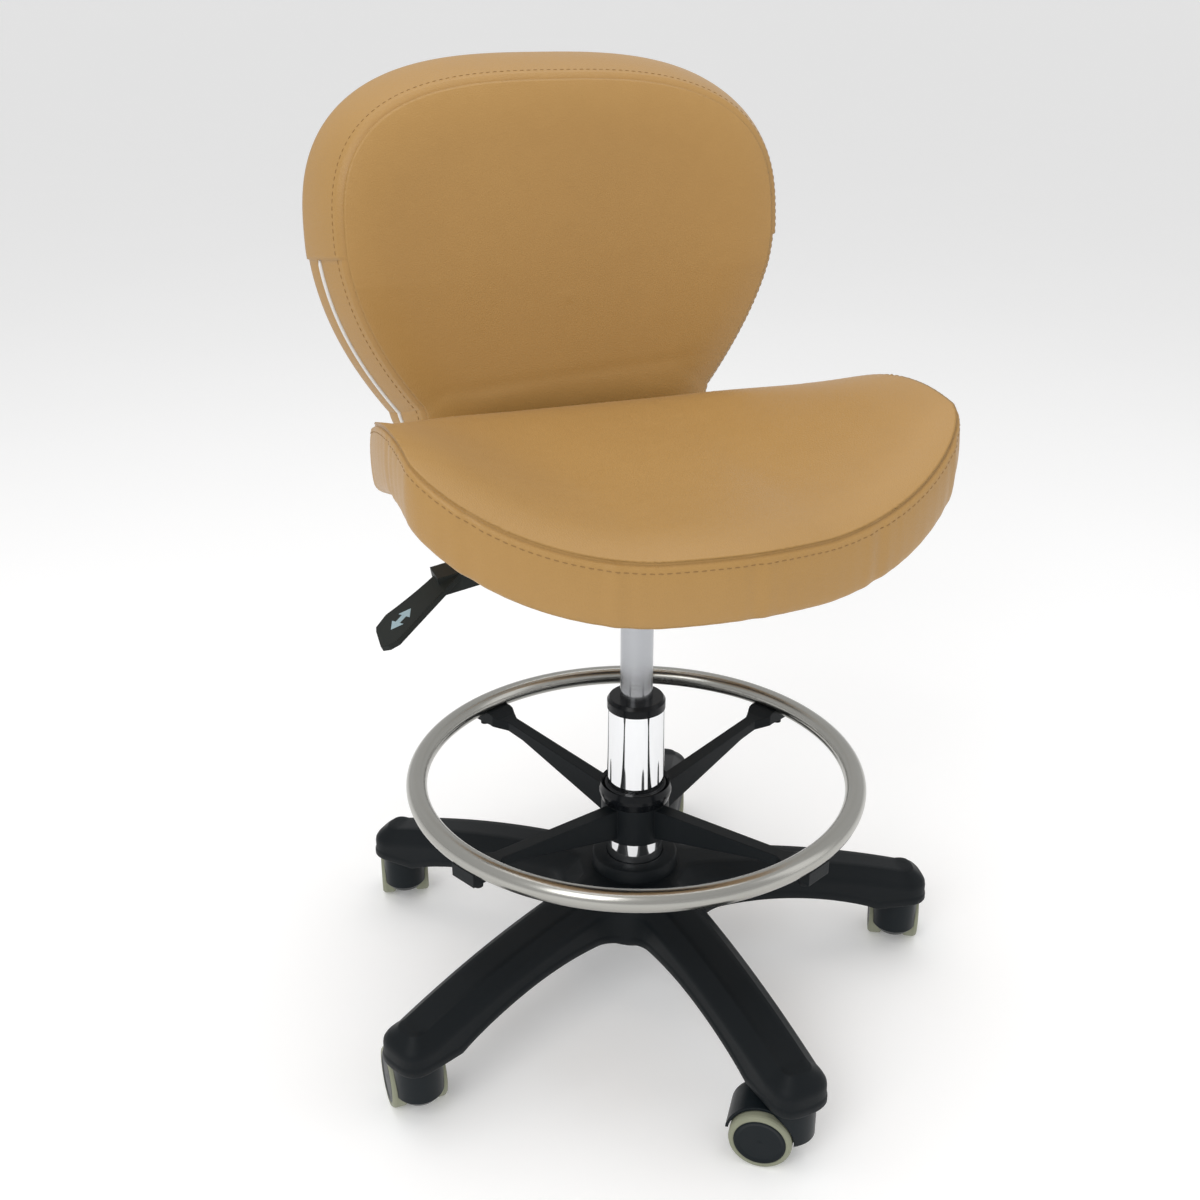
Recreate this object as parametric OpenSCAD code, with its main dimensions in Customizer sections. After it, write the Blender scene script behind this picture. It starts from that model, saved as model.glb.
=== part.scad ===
// Adjustable swivel stool: contoured seat and backrest on a gas lift, with a
// height-adjustable foot ring and a five-armed base on twin-wheel casters.
// Millimetres, +Z up. The origin is on the floor, on the axis of the column.
// The sitter faces -Y, and the height lever is on the sitter's right, at -X.

/* [Seat] */
// Overall width of the seat cushion, across its raised wings
seat_w = 427; // [400:1:470]
// Reach of the seat from the column axis to its front edge
seat_front = 210; // [195:1:230]
// Reach of the seat from the column axis to its rear edge
seat_rear = 145; // [130:1:155]
// Height of the middle of the seat surface above the floor
seat_h = 497; // [480:1:520]
// Thickness of the foam of the seat cushion
seat_foam = 40; // [30:1:55]
// Thickness of the moulded plywood seat pan
pan_t = 10; // [8:1:14]
// How far the pan stands inside the edge of the cushion
pan_inset = 12; // [8:1:30]
// Rise of the side wings at their highest point
seat_wing = 66; // [40:1:80]
// Position of the highest point of the wings, measured forward of the column axis
wing_fore = 68; // [50:1:90]
// Length over which the wings fade away to the front and to the rear
wing_fade = 163; // [120:1:220]
// Half width of the flat middle of the seat pan
seat_flat = 60; // [55:1:80]

/* [Backrest] */
// Width of the front face of the backrest at its widest
back_w = 389; // [360:1:430]
// Height of the widest part of the backrest above the seat line, along its lean
back_waist = 135; // [125:1:165]
// Height from the widest part to the top of the backrest
back_crown = 126; // [110:1:160]
// How far the backrest reaches below the seat line
back_drop = 35; // [20:1:45]
// How much narrower each side is at the bottom edge
back_taper = 82; // [50:1:90]
// How far the sides of the backrest swell out towards the rear
back_flare = 24; // [12:1:28]
// Lean of the backrest from upright, in degrees
back_lean = 5.5; // [4:0.5:14]
// Distance from the column axis to the face of the backrest at the seat line
back_reach = 172; // [165:1:180]
// Thickness of the backrest foam
back_foam = 46; // [35:1:55]
// Thickness of the moulded plywood backrest board
board_t = 10; // [8:1:12]
// How far the board stands inside the edge of the foam
board_inset = 10; // [8:1:20]
// Thickness of the upholstered rear panel
rear_panel_t = 6; // [4:1:10]
// How far the side edges of the backrest curve forward
back_wing = 17; // [10:1:26]
// Half width of the flat middle of the backrest
back_flat = 43; // [36:1:60]

/* [Seat mechanism] */
// Width of the steel seat plate, side to side
plate_w = 170; // [164:1:200]
// Depth of the steel seat plate, front to rear
plate_d = 190; // [186:1:200]
// Thickness of the steel seat plate
plate_t = 3; // [2.5:0.5:4]
// Sideways distance of the seat bolts from the middle
seat_bolt_x = 70; // [64:1:74]
// Front and rear distance of the seat bolts from the middle
seat_bolt_y = 75; // [68:1:80]
// Height of the pressed housing under the plate
housing_h = 48; // [44:1:54]
// Width of the backrest bar
bar_w = 60; // [50:1:76]
// Thickness of the backrest bar
bar_t = 6; // [5:1:8]
// Height of the upright of the backrest bar, along its lean from the seat line
bar_rise = 140; // [125:1:160]

/* [Height lever] */
// Position of the lever bar behind the column axis
lever_y = 25; // [24:1:30]
// Width of the flat lever bar
lever_w = 20; // [16:1:22]
// Thickness of the flat lever bar
lever_t = 5; // [4:0.5:6]
// Length of the lever bar from its pivot
lever_len = 142; // [125:1:160]
// Droop of the lever bar at rest, in degrees
lever_droop = 10; // [8:1:12]
// Length of the lever paddle
paddle_len = 92; // [75:1:100]
// Forward sweep of the paddle from the bar, in degrees
paddle_sweep = 30; // [0:1:35]
// Droop of the paddle, in degrees
paddle_droop = 26; // [12:1:30]
// Thickness of the paddle
paddle_t = 5; // [4:0.5:7]

/* [Column and gas lift] */
// Outer diameter of the chrome column
column_d = 50; // [48:1:52]
// Wall thickness of the column
column_wall = 2; // [1.5:0.5:3]
// Height of the rim of the column above the floor
column_top = 279; // [270:1:290]
// Height of the flange of the guide bushing above the rim
cap_h = 10; // [8:1:12]
// Diameter of the gas cylinder
cylinder_d = 28; // [27:1:30]
// Height of the lower end of the gas cylinder above the floor
cylinder_low = 187; // [185:1:195]
// Diameter of the piston rod
rod_d = 10; // [8:1:12]
// Diameter of the release button
button_d = 7; // [6:1:8]

/* [Foot ring] */
// Diameter of the foot ring, measured to the middle of its tube
ring_d = 382; // [360:1:420]
// Diameter of the foot ring's tube
tube_d = 18; // [16:1:20]
// Wall thickness of the foot ring's tube
tube_wall = 1.5; // [1:0.5:2]
// Height of the middle of the tube above the floor
ring_h = 214; // [208:1:222]
// Height of the spider hub
spider_h = 34; // [30:1:40]
// Depth of a spoke where it meets the hub
spoke_root = 30; // [24:1:34]
// Thickness of a spoke
spoke_t = 13; // [10:1:16]
// Turn of the spokes about the column, in degrees
spoke_turn = 25.5; // [0:0.5:89.5]
// Height of the twist collar on top of the spider hub
collar_h = 16; // [12:1:20]
// Diameter of the flared rim of the twist collar
collar_d = 64; // [62:1:70]

/* [Base] */
// Distance from the column axis to each caster's swivel axis
caster_reach = 254; // [230:1:280]
// Width of an arm at its end
arm_w = 48; // [42:1:54]
// Width of an arm at the hub
arm_root_w = 56; // [50:1:60]
// Height of the underside of an arm's end above the floor
arm_under = 58; // [58:1:66]
// Depth of an arm at its end
arm_end_h = 30; // [28:1:36]
// Height of the top of the hub above the floor
hub_top = 134; // [130:1:140]
// Diameter of the hub
hub_d = 84; // [80:1:90]
// Turn of the arms from straight ahead, in degrees
star_turn = 7.5; // [0:0.5:71.5]

/* [Casters] */
// Diameter of a caster wheel over its tread
wheel_d = 50; // [46:1:50]
// Width of a caster wheel
wheel_w = 13; // [10:1:14]
// Thickness of the soft tread
tread_t = 4.5; // [3:0.5:6]
// Width of the hood's body between the two wheels
web_w = 18; // [14:1:20]
// Distance from the swivel axis back to the wheel axle
caster_trail = 20; // [18:1:22]
// Diameter of the caster stem
stem_d = 11; // [10:0.5:12]
// Diameter of a wheel axle
axle_d = 6; // [5:0.5:8]

/* [Fits] */
// Radial gap of a running fit, such as a wheel on its axle
run_gap = 0.05; // [0.02:0.01:0.1]
// Radial slack of a hole that a bolt passes through
bolt_slack = 0.3; // [0.2:0.1:0.4]
// Gap between the backrest board and the rear panel
board_gap = 1.5; // [1.5:0.1:2]

/* [Hidden] */
ARMS = 5;
SPOKES = 4;
FINE = 96;

// Levels under the seat, which the gas lift and the mechanism share
seat_under = seat_h - seat_foam - pan_t;
plate_under = seat_under - plate_t;

// ---- Base star -------------------------------------------------------------
hub_bottom = arm_under;
hub_draft = 4;
sleeve_wall_t = 5;
sleeve_r = column_d / 2 + sleeve_wall_t;
sleeve_lip = 4;
sleeve_low = hub_bottom + 6;
sleeve_top = hub_top - 4;
socket_depth = 26;
arm_root = sleeve_r - 2;
// Direction each caster trails in at rest, in degrees from +X, from the front arm round
caster_heading = [145, 60, 70, 80, 90];

function arm_angle(k) = -90 + star_turn + 360 / ARMS * k;
arm_tip_top = arm_under + arm_end_h;
arm_crest = hub_top - 12;
arch_in = arm_root - 4;
arch_out = caster_reach - arm_w / 2 - 4;
function arm_top_z(r) =
    arm_crest - (arm_crest - arm_tip_top) * pow((r - arch_in) / (caster_reach - arch_in), 2);
arch_rise = 26;
function arm_low_z(r) = arm_under + arch_rise * sin(180 * (r - arch_in) / (arch_out - arch_in));

module arm_side() {
    tip = caster_reach + arm_w / 2;
    steps = 12;
    polygon(concat(
        [for (i = [0:steps]) let (r = arm_root + (arch_out - arm_root) * i / steps) [r, arm_low_z(r)]],
        [[tip, arm_under], [tip, arm_tip_top - 14], [tip - 3, arm_tip_top - 6], [tip - 10, arm_tip_top - 1]],
        [for (i = [steps:-1:0]) let (r = arm_root + (caster_reach - arm_root) * i / steps)
            [r, arm_top_z(r)]]));
}

module arm_plan() {
    polygon([[0, -arm_root_w / 2], [caster_reach, -arm_w / 2],
             [caster_reach, arm_w / 2], [0, arm_root_w / 2]]);
    translate([caster_reach, 0]) circle(d = arm_w, $fn = FINE);
}

module column_taper(low, high) {
    translate([0, 0, low]) cylinder(r1 = taper_r(low), r2 = taper_r(high), h = high - low, $fn = FINE);
}

module base_star() {
    color([0.07, 0.07, 0.08])
    difference() {
        union() {
            for (k = [0:ARMS - 1])
                rotate([0, 0, arm_angle(k)])
                intersection() {
                    translate([0, arm_root_w, 0]) rotate([90, 0, 0])
                        linear_extrude(height = 2 * arm_root_w) arm_side();
                    linear_extrude(height = hub_top) arm_plan();
                }
            translate([0, 0, hub_bottom])
                cylinder(d1 = hub_d, d2 = hub_d - 2 * hub_draft, h = hub_top - hub_bottom, $fn = FINE);
        }
        translate([0, 0, sleeve_low]) cylinder(r = sleeve_r, h = sleeve_top - sleeve_low, $fn = FINE);
        translate([0, 0, hub_bottom - 1]) cylinder(r = sleeve_r - sleeve_lip, h = hub_top, $fn = FINE);
        column_taper(sleeve_low, taper_top);
        translate([0, 0, taper_top - 0.5]) cylinder(d = column_d, h = hub_top, $fn = FINE);
        for (k = [0:ARMS - 1])
            rotate([0, 0, arm_angle(k)]) translate([caster_reach, 0, arm_under - 1])
                cylinder(d = stem_d + 2 * run_gap, h = socket_depth + 1, $fn = FINE);
    }
}

module hub_sleeve() {
    color([0.45, 0.46, 0.48])
    difference() {
        translate([0, 0, sleeve_low]) cylinder(r = sleeve_r, h = sleeve_top - sleeve_low, $fn = FINE);
        column_taper(sleeve_low - 1, taper_top);
        translate([0, 0, taper_top - 0.5]) cylinder(d = column_d, h = hub_top, $fn = FINE);
    }
}

// ---- Column ----------------------------------------------------------------
taper_top = sleeve_top - 2;
taper_low = sleeve_low + 2;
taper_shrink = 0.8;
function taper_r(z) = column_d / 2 - taper_shrink * (taper_top - z) / (taper_top - taper_low);
floor_plate = 3;
rod_hole_r = rod_d / 2 + 0.2;
column_in = column_d / 2 - column_wall;
bushing_len = 70;

module column_tube() {
    low_in = column_in - taper_shrink;
    color([0.82, 0.83, 0.85])
    rotate_extrude($fn = FINE)
        polygon([[rod_hole_r, taper_low], [taper_r(taper_low), taper_low], [column_d / 2, taper_top],
                 [column_d / 2, column_top], [column_in, column_top], [column_in, taper_top],
                 [low_in, taper_low + floor_plate], [rod_hole_r, taper_low + floor_plate]]);
}

module column_bushing() {
    bore = cylinder_d / 2 + 2 * run_gap;
    rim = column_d / 2 + 0.2;
    color([0.05, 0.05, 0.06])
    rotate_extrude($fn = FINE)
        polygon([[bore, column_top - bushing_len], [column_in, column_top - bushing_len],
                 [column_in, column_top], [rim, column_top], [rim, column_top + cap_h - 3],
                 [rim - 2, column_top + cap_h], [bore, column_top + cap_h]]);
}

// ---- Gas lift --------------------------------------------------------------
bearing_low = taper_low + floor_plate;
washer_t = 1;
washer_r = 15;
ball_d = 5;
ball_ring = 10;
balls = 10;
bearing_top = bearing_low + 2 * washer_t + ball_d + 2 * run_gap;
cone_len = 40;
cone_shrink = 1;
cone_top = plate_under - 14;
cylinder_shoulder = cone_top - cone_len;
cylinder_wall = 2;
gland_h = 18;
head_h = 50;
button_bore_depth = 23;
button_up = 6;
button_down = 19;
piston_low = cylinder_low + 75;
piston_h = 16;
piston_gap = 0.3;
rod_collar = 4;
rod_collar_h = 3;
clip_h = 2;

module thrust_bearing() {
    color([0.6, 0.6, 0.62]) {
        for (z = [bearing_low, bearing_top - washer_t])
            translate([0, 0, z]) difference() {
                cylinder(r = washer_r, h = washer_t, $fn = FINE);
                translate([0, 0, -1]) cylinder(r = rod_hole_r, h = washer_t + 2, $fn = FINE);
            }
        for (i = [0:balls - 1])
            rotate([0, 0, 360 / balls * i])
                translate([ball_ring, 0, bearing_low + washer_t + run_gap + ball_d / 2])
                sphere(d = ball_d, $fn = FINE);
    }
}

module piston_rod() {
    collar_r = rod_d / 2 + rod_collar;
    piston_r = cylinder_d / 2 - cylinder_wall - piston_gap;
    rod_low = hub_bottom + 2;
    color([0.75, 0.75, 0.78])
    rotate_extrude($fn = FINE)
        polygon([[0, rod_low], [rod_d / 2, rod_low], [rod_d / 2, bearing_top],
                 [collar_r, bearing_top], [collar_r, bearing_top + rod_collar_h],
                 [rod_d / 2, bearing_top + rod_collar_h], [rod_d / 2, piston_low], [piston_r, piston_low],
                 [piston_r, piston_low + piston_h], [0, piston_low + piston_h]]);
}

module retaining_clip() {
    color([0.5, 0.5, 0.52])
    translate([0, 0, taper_low - clip_h - 1]) difference() {
        cylinder(r = rod_d / 2 + rod_collar, h = clip_h, $fn = FINE);
        translate([0, 0, -1]) cylinder(d = rod_d, h = clip_h + 2, $fn = FINE);
    }
}

module gas_cylinder() {
    guide_r = rod_d / 2 + run_gap;
    button_r = button_d / 2 + 0.2;
    color([0.70, 0.71, 0.73])
    rotate_extrude($fn = FINE)
        polygon([[guide_r, cylinder_low], [cylinder_d / 2, cylinder_low], [cylinder_d / 2, cylinder_shoulder],
                 [cylinder_d / 2 - cone_shrink, cone_top], [button_r, cone_top],
                 [button_r, cone_top - button_bore_depth], [0, cone_top - button_bore_depth],
                 [0, cone_top - head_h], [cylinder_d / 2 - cylinder_wall, cone_top - head_h],
                 [cylinder_d / 2 - cylinder_wall, cylinder_low + gland_h],
                 [guide_r, cylinder_low + gland_h]]);
}

module release_button() {
    color([0.75, 0.2, 0.15])
    translate([0, 0, cone_top - button_down])
        cylinder(d = button_d, h = button_down + button_up, $fn = FINE);
}

// ---- Foot ring -------------------------------------------------------------
ring_r = ring_d / 2;
cradle_low = ring_h - tube_d / 2 - 8;
cradle_w = 26;
cradle_out = ring_r + 8;
cradle_in = ring_r - 12;
cradle_up = ring_h - 5;
hub_r = column_d / 2 + 5;
hub_top_z = ring_h - 24;
spider_low = hub_top_z - spider_h;
sleeve_wall = 2;
ring_screw_d = 4;
ring_screw_head = 3;
ring_screw_bite = 2.5;
ring_screw_side = 9;

module foot_ring() {
    color([0.66, 0.65, 0.62])
    difference() {
        translate([0, 0, ring_h]) rotate_extrude($fn = FINE) translate([ring_r, 0]) difference() {
            circle(d = tube_d, $fn = 48);
            circle(d = tube_d - 2 * tube_wall, $fn = 48);
        }
        ring_screw_shanks();
    }
}

module ring_screw_places() {
    for (k = [0:SPOKES - 1], side = [-1, 1])
        rotate([0, 0, spoke_turn + 90 * k])
            translate([ring_r, side * ring_screw_side, cradle_low]) children();
}

module ring_screw_shanks() {
    ring_screw_places()
        cylinder(d = ring_screw_d, h = ring_h - tube_d / 2 + ring_screw_bite - cradle_low, $fn = 32);
}

module ring_screws() {
    color([0.08, 0.08, 0.09]) {
        ring_screw_shanks();
        ring_screw_places() translate([0, 0, -ring_screw_head])
            cylinder(d = 2 * ring_screw_d, h = ring_screw_head, $fn = 32);
    }
}

module spoke() {
    root = hub_r - 3;
    neck = ring_r - 30;
    ear = ring_r - 16;
    slim = spoke_t / 2 - 1;
    intersection() {
        translate([0, cradle_w, 0]) rotate([90, 0, 0]) linear_extrude(height = 2 * cradle_w)
            polygon([[root, hub_top_z - spoke_root], [root, hub_top_z - 1],
                     [cradle_in - 10, cradle_up - 4], [cradle_in, cradle_up], [cradle_out, cradle_up],
                     [cradle_out, cradle_low], [cradle_in, cradle_low], [neck - 20, cradle_low - 5]]);
        linear_extrude(height = 2 * ring_h)
            polygon([[0, -spoke_t / 2], [neck, -slim], [ear, -cradle_w / 2], [cradle_out, -cradle_w / 2],
                     [cradle_out, cradle_w / 2], [ear, cradle_w / 2], [neck, slim], [0, spoke_t / 2]]);
    }
}

module foot_spider() {
    color([0.07, 0.07, 0.08])
    difference() {
        union() {
            translate([0, 0, spider_low]) cylinder(r = hub_r, h = spider_h, $fn = FINE);
            for (k = [0:SPOKES - 1]) rotate([0, 0, spoke_turn + 90 * k]) spoke();
        }
        translate([0, 0, spider_low - 1])
            cylinder(r = column_d / 2 + sleeve_wall, h = spider_h + 2, $fn = FINE);
        translate([0, 0, ring_h]) rotate_extrude($fn = FINE)
            translate([ring_r, 0]) circle(d = tube_d, $fn = 48);
        ring_screw_shanks();
    }
}

module foot_sleeve() {
    bore = column_d / 2 + 2 * run_gap;
    color([0.12, 0.12, 0.13])
    difference() {
        translate([0, 0, spider_low])
            cylinder(r = column_d / 2 + sleeve_wall, h = spider_h + collar_h - 2, $fn = FINE);
        translate([0, 0, spider_low - 1]) cylinder(r = bore, h = spider_h + collar_h, $fn = FINE);
    }
}

module foot_collar() {
    bore = column_d / 2 + sleeve_wall + run_gap;
    color([0.07, 0.07, 0.08])
    rotate_extrude($fn = FINE)
        polygon([[bore, hub_top_z], [hub_r, hub_top_z], [collar_d / 2, hub_top_z + collar_h / 2 - 1],
                 [collar_d / 2, hub_top_z + collar_h / 2 + 2], [collar_d / 2 - 1.5, hub_top_z + collar_h],
                 [bore + 1, hub_top_z + collar_h - 3], [bore, hub_top_z + collar_h - 4]]);
}

// ---- Seat mechanism --------------------------------------------------------
bolt_d = 6;
bolt_hole = bolt_d + 2 * bolt_slack;
bolt_head_d = 11;
bolt_head_h = 4;
housing_x = 34;
housing_fore = 50;
housing_aft = 58;
wall = 3;
pivot_x = -22;
pivot_z = plate_under - 8;
pin_d = 5;
eye_d = 11;
lug_t = 3.5;
lug_len = 16;
lug_gap = 1;
slot_h = 17;
boss_r = cylinder_d / 2 + 7;
boss_down = 12;
bar_bolt_y = [69, 86];

module seat_bolt_places() {
    for (x = [-seat_bolt_x, seat_bolt_x], y = [-seat_bolt_y, seat_bolt_y]) translate([x, y, 0]) children();
}

module lever_pivot() {
    translate([pivot_x, lever_y, pivot_z]) children();
}

module seat_mechanism() {
    box_low = plate_under - housing_h;
    color([0.06, 0.06, 0.07])
    difference() {
        union() {
            translate([-plate_w / 2, -plate_d / 2, plate_under]) cube([plate_w, plate_d, plate_t]);
            difference() {
                translate([-housing_x, -housing_fore, box_low])
                    cube([2 * housing_x, housing_fore + housing_aft, housing_h]);
                translate([wall - housing_x, wall - housing_fore, box_low + wall])
                    cube([2 * (housing_x - wall), housing_fore + housing_aft - 2 * wall, housing_h]);
            }
            translate([0, 0, box_low - boss_down])
                cylinder(r = boss_r, h = cone_top - box_low + boss_down, $fn = FINE);
            for (side = [-1, 1])
                lever_pivot()
                translate([-wall - 6, side * (lever_w / 2 + lug_gap + lug_t / 2) - lug_t / 2, -7])
                    cube([lug_len, lug_t, plate_under - pivot_z + 7]);
        }
        translate([0, 0, cylinder_shoulder - cone_len]) cylinder(d = cylinder_d, h = cone_len, $fn = FINE);
        translate([0, 0, cylinder_shoulder])
            cylinder(d1 = cylinder_d, d2 = cylinder_d - 2 * cone_shrink, h = cone_len, $fn = FINE);
        lever_pivot() rotate([90, 0, 0]) cylinder(d = pin_d, h = 2 * lever_w, center = true, $fn = FINE);
        translate([-housing_x - 1, lever_y - lever_w / 2 - lug_gap, plate_under - slot_h])
            cube([wall + 2, lever_w + 2 * lug_gap, slot_h]);
        translate([0, 0, plate_under - 1]) {
            seat_bolt_places() cylinder(d = bolt_hole, h = plate_t + 2, $fn = 32);
            for (y = bar_bolt_y) translate([0, y, 0]) cylinder(d = bolt_d, h = plate_t + 2, $fn = 32);
        }
    }
}

module m6_bolt(shank) {
    translate([0, 0, -bolt_head_h]) cylinder(d = bolt_head_d, h = bolt_head_h, $fn = 6);
    cylinder(d = bolt_d, h = shank, $fn = 32);
}

module m6_bolts() {
    color([0.55, 0.56, 0.58]) {
        seat_bolt_places() translate([0, 0, plate_under]) m6_bolt(plate_t + pan_t - 1);
        for (y = bar_bolt_y) translate([0, y, plate_under - bar_t]) m6_bolt(bar_t + plate_t);
        back_bolt_places() m6_bolt(bar_t + rear_panel_t + board_t - 1);
    }
}

// ---- Height lever ----------------------------------------------------------
finger_play = 0.7;
finger_t = 4;
finger_half = 6;
socket_len = 34;
socket_wall = 3;
socket_under = 8;
paddle_root = 12;

module lever_pin() {
    color([0.6, 0.6, 0.62])
    lever_pivot() rotate([90, 0, 0])
        cylinder(d = pin_d, h = lever_w + 2 * (lug_gap + lug_t) + 1, center = true, $fn = FINE);
}

// The bar, its eye and the arm of its finger are one side view; the finger's pad
// reaches forward from the arm to the middle of the release button
module lever_bar() {
    finger_up = cone_top + button_up + finger_play - pivot_z;
    color([0.05, 0.05, 0.06])
    lever_pivot() union() {
        rotate([90, 0, 0]) linear_extrude(height = lever_w, center = true) difference() {
            union() {
                circle(d = eye_d, $fn = FINE);
                rotate([0, 0, lever_droop]) translate([-lever_len, -lever_t / 2])
                    square([lever_len, lever_t]);
                translate([0, finger_up]) square([finger_half - pivot_x, finger_t]);
            }
            circle(d = pin_d + 2 * run_gap, $fn = FINE);
        }
        translate([-pivot_x - finger_half + 1, -lever_y - finger_half, finger_up])
            cube([2 * finger_half - 2, lever_y + finger_half - lever_w / 2 + 1, finger_t - 1]);
    }
}

// Plan of the paddle from its root: a straight front edge, and a curved rear edge
// that swells towards the tip and is cut off aslant
module paddle_outline() {
    front = 13;
    swell = 20;
    rear = [for (i = [0:6]) [(paddle_len - 30) * i / 6, -9 - (swell - 9) * pow(i / 6, 1.7)]];
    polygon(concat(rear, [[paddle_len - 16, 2 - swell], [paddle_len - 12, 6 - swell], [paddle_len, 3],
                          [paddle_len - 3, 9], [paddle_len - 10, front], [0, front]]));
}

module lever_paddle() {
    color([0.12, 0.12, 0.12])
    difference() {
        union() {
            lever_pivot() rotate([0, -lever_droop, 0])
                translate([-lever_len - socket_wall, -lever_w / 2 - socket_wall, -lever_t / 2 - socket_under])
                    cube([socket_len, lever_w + 2 * socket_wall, lever_t + socket_under + socket_wall]);
            lever_pivot() rotate([0, -lever_droop, 0])
                translate([-lever_len + paddle_root, 0, lever_t / 2 + socket_wall])
                rotate([0, 0, paddle_sweep]) rotate([0, lever_droop - paddle_droop, 0])
                translate([0, 0, -paddle_t]) rotate([0, 0, 180])
                linear_extrude(height = paddle_t) paddle_outline();
        }
        lever_pivot() rotate([0, -lever_droop, 0])
            translate([-lever_len, -lever_w / 2, -lever_t / 2]) cube([lever_len, lever_w, lever_t]);
    }
}

// ---- Backrest bar ----------------------------------------------------------
seat_line = seat_h + 20;
back_bolt_x = 18;
back_bolt_s = [20, 110];
bar_face = back_foam + board_t + rear_panel_t;
bar_back = bar_face + bar_t;

// Everything on the backrest is placed in its own leaning frame: X across,
// Y towards the rear from the face, Z up the lean from the seat line
module on_back() {
    translate([0, back_reach, seat_line]) rotate([-back_lean, 0, 0]) children();
}

module back_bolt_places() {
    on_back() for (x = [-back_bolt_x, back_bolt_x], s = back_bolt_s)
        translate([x, bar_back, s]) rotate([90, 0, 0]) children();
}

// Point of the side view at a depth n behind the face and a distance s up the lean
function lean_point(n, s) = [back_reach + s * sin(back_lean) + n * cos(back_lean),
                             seat_line + s * cos(back_lean) - n * sin(back_lean)];
function lean_s(n, z) = (z - seat_line + n * sin(back_lean)) / cos(back_lean);

module back_bar() {
    under = plate_under - bar_t;
    color([0.06, 0.06, 0.07])
    difference() {
        translate([-bar_w / 2, 0, 0]) rotate([90, 0, 90]) linear_extrude(height = bar_w)
            polygon([[housing_aft + 2, plate_under], [housing_aft + 2, under],
                     lean_point(bar_back, lean_s(bar_back, under)), lean_point(bar_back, bar_rise),
                     lean_point(bar_face, bar_rise), lean_point(bar_face, lean_s(bar_face, plate_under))]);
        for (y = bar_bolt_y) translate([0, y, under - 1]) cylinder(d = bolt_hole, h = bar_t + 2, $fn = 32);
        back_bolt_places() translate([0, 0, -1]) cylinder(d = bolt_hole, h = bar_t + 2, $fn = 32);
    }
}

// ---- Upholstery and its boards ---------------------------------------------
// A lofted pad: outlines of equal length for its two faces, each face filled by
// rings that shrink to the middle, at heights given by the two level functions
function pad_ring(outline, mid, share) = [for (p = outline) mid + share * (p - mid)];
function pad_face(outline, mid, shares, level) =
    concat([for (f = shares) for (p = pad_ring(outline, mid, f)) [p[0], p[1], level(p[0], p[1])]],
           [[mid[0], mid[1], level(mid[0], mid[1])]]);

module lofted_pad(low_outline, high_outline, mid, low_level, high_level) {
    shares = [1, 0.87, 0.72, 0.55, 0.35, 0.17];
    n = len(low_outline);
    m = len(shares);
    low = pad_face(low_outline, mid, shares, low_level);
    high = pad_face(high_outline, mid, shares, high_level);
    top = len(low);
    band = [for (j = [0:m - 2], i = [0:n - 1]) let (a = j * n + i, b = j * n + (i + 1) % n) each
            [[a, b, a + n], [b, b + n, a + n]]];
    fan = [for (i = [0:n - 1]) let (a = (m - 1) * n) [a + i, a + (i + 1) % n, m * n]];
    side = [for (i = [0:n - 1]) let (j = (i + 1) % n) each [[i, top + i, j], [j, top + i, top + j]]];
    polyhedron(concat(low, high), concat(
        [for (t = concat(band, fan)) t],
        [for (t = concat(band, fan)) [top + t[0], top + t[2], top + t[1]]],
        side));
}

function power_arc(angle, p) = sign(cos(angle)) * pow(abs(cos(angle)), 2 / p);

seat_mid_y = -seat_front + 97;
front_round = 1.75;
rear_round = 3.8;
wing_power = 1.6;

// A quarter of a rounded box as shares of its half width and half length, for
// q from 0 at the side to 2 at the rear
function box_quarter(q, p) = let (
    corner = pow(0.5, 1 / p),
    near = corner * (q < 1 ? q : 2 - q),
    far = pow(1 - pow(near, p), 1 / p))
    q < 1 ? [far, near] : [near, far];

// Seat outline, counter-clockwise from above, set in by a margin
function seat_outline(inset) = let (
    half = seat_w / 2 - inset,
    rear = seat_rear - seat_mid_y - inset,
    fore = seat_front + seat_mid_y - inset,
    right = [for (i = [0:14]) let (f = box_quarter(i / 7.5, rear_round)) [half * f[0], rear * f[1]]],
    front = [for (t = [9:9:90]) [half * power_arc(t, front_round), -fore * power_arc(t - 90, front_round)]],
    loop = concat(right, [[0, rear]],
                  [for (i = [14:-1:0]) [-right[i][0], right[i][1]]],
                  [for (i = [0:8]) [-front[i][0], front[i][1]]], [front[9]],
                  [for (i = [8:-1:0]) front[i]]))
    [for (p = loop) [p[0], p[1] + seat_mid_y]];

function seat_rise(x, y) =
    seat_wing * pow(max(0, abs(x) - seat_flat) / (seat_w / 2 - seat_flat), wing_power)
    * exp(-pow((y + wing_fore) / wing_fade, 2));

seat_mid = [0, -30];

// The pan's shape, with its underside lowered by a depth where it cuts its own seat
module pan_shape(deeper) {
    lofted_pad(seat_outline(pan_inset), seat_outline(pan_inset), seat_mid,
               function (x, y) seat_under - deeper + seat_rise(x, y),
               function (x, y) seat_under + pan_t + seat_rise(x, y));
}

module seat_pan() {
    color([0.72, 0.58, 0.40])
    difference() {
        pan_shape(0);
        seat_bolt_places() translate([0, 0, seat_under - 1]) cylinder(d = bolt_d, h = pan_t, $fn = 32);
    }
}

module seat_cushion() {
    color([0.70, 0.53, 0.31])
    difference() {
        lofted_pad(seat_outline(0), seat_outline(0), seat_mid,
                   function (x, y) seat_under + seat_rise(x, y),
                   function (x, y) seat_h + seat_rise(x, y));
        pan_shape(3);
    }
}

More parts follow.
